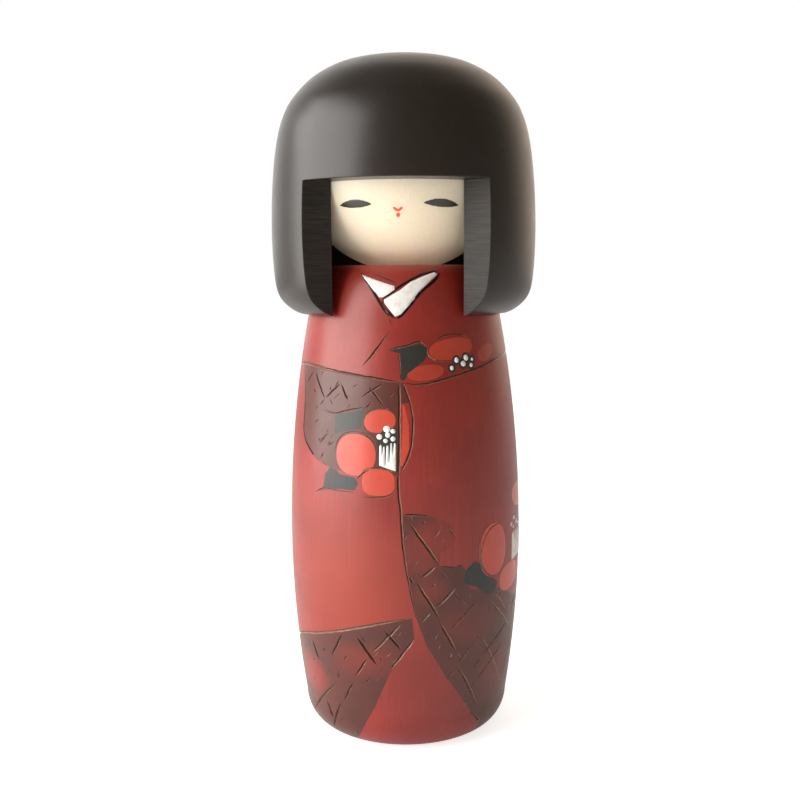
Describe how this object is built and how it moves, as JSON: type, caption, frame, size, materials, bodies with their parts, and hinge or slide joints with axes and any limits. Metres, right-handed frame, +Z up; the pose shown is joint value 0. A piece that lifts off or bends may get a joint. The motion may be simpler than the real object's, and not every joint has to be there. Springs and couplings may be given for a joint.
{
  "type": "kokeshi doll",
  "caption": "Turned wooden kokeshi doll with a carved and painted kimono body and a head with bobbed hair that turns on a hidden dowel; stands on a flat foot.",
  "frame": {"origin": "on the turning axis, in the plane of the flat foot", "axes": "+Z up along the turning axis, the doll faces -Y, +X to the right of someone facing it"},
  "size_m": [0.0744, 0.074, 0.19],
  "materials": {
    "red_stained_wood": "deep red stain under satin lacquer, carved and painted",
    "pale_wood": "pale cream, satin lacquer",
    "black_lacquered_wood": "dark brown-black satin lacquer",
    "bare_dowel": "unfinished dowel"
  },
  "bodies": {
    "kimono": {"kimono_body": "red_stained_wood"},
    "head_and_hair": {"head": "pale_wood", "hair": "black_lacquered_wood", "neck_peg": "bare_dowel"}
  },
  "joints": [
    {"name": "head_turn", "type": "hinge", "parent": "kimono", "child": "head_and_hair", "pos_m": [0, 0, 0.1325], "axis": [0, 0, 1], "continuous": true}
  ]
}
